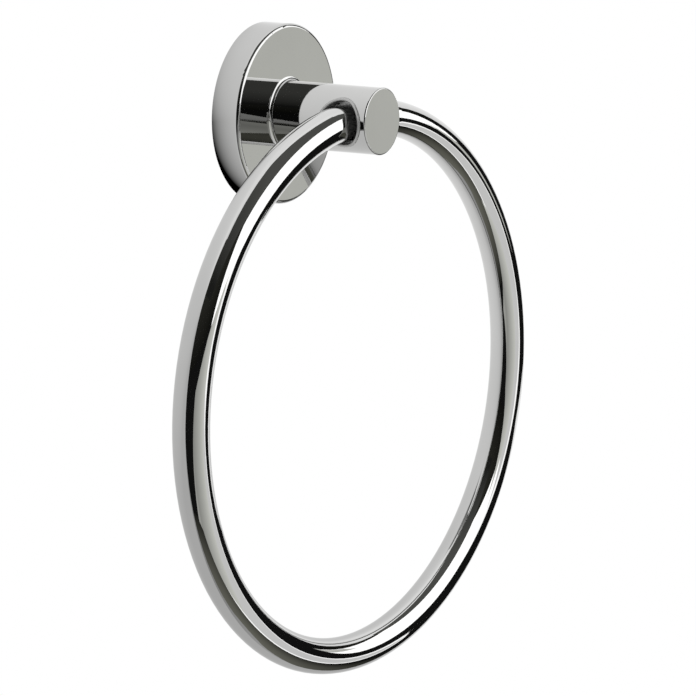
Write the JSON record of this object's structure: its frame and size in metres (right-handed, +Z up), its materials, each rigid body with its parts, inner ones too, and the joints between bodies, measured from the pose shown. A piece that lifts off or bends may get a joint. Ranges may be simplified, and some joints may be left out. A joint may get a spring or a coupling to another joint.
{
  "type": "towel ring",
  "caption": "Round towel ring of plain rod, hanging loose in the sleeved eye of a short round post on a round wall flange, with a hidden wall disc and set screw.",
  "frame": {"origin": "centre of the flange's back, on the wall and on the axis of the post", "axes": "+Y into the wall, -Y out into the room along the post, +X along the wall, +Z up"},
  "size_m": [0.1732, 0.0442, 0.1948],
  "materials": {
    "bracket_chrome": "polished chrome plate",
    "ring_chrome": "polished chrome plate",
    "bush_steel": "turned, polished in the bore",
    "pin_brass": "turned",
    "screw_steel": "plain steel",
    "plate_steel": "zinc plated"
  },
  "bodies": {
    "bracket": {"bracket": "bracket_chrome", "bush": "bush_steel", "wall_plate": "plate_steel", "set_screw": "screw_steel"},
    "ring": {"ring": "ring_chrome", "ring_pin": "pin_brass"}
  },
  "joints": [
    {"name": "ring_swing", "type": "hinge", "parent": "bracket", "child": "ring", "pos_m": [0, -0.0336, -0.0005], "axis": [-0.9979, 0.0645, 0], "range_deg": [-9, 189]}
  ]
}
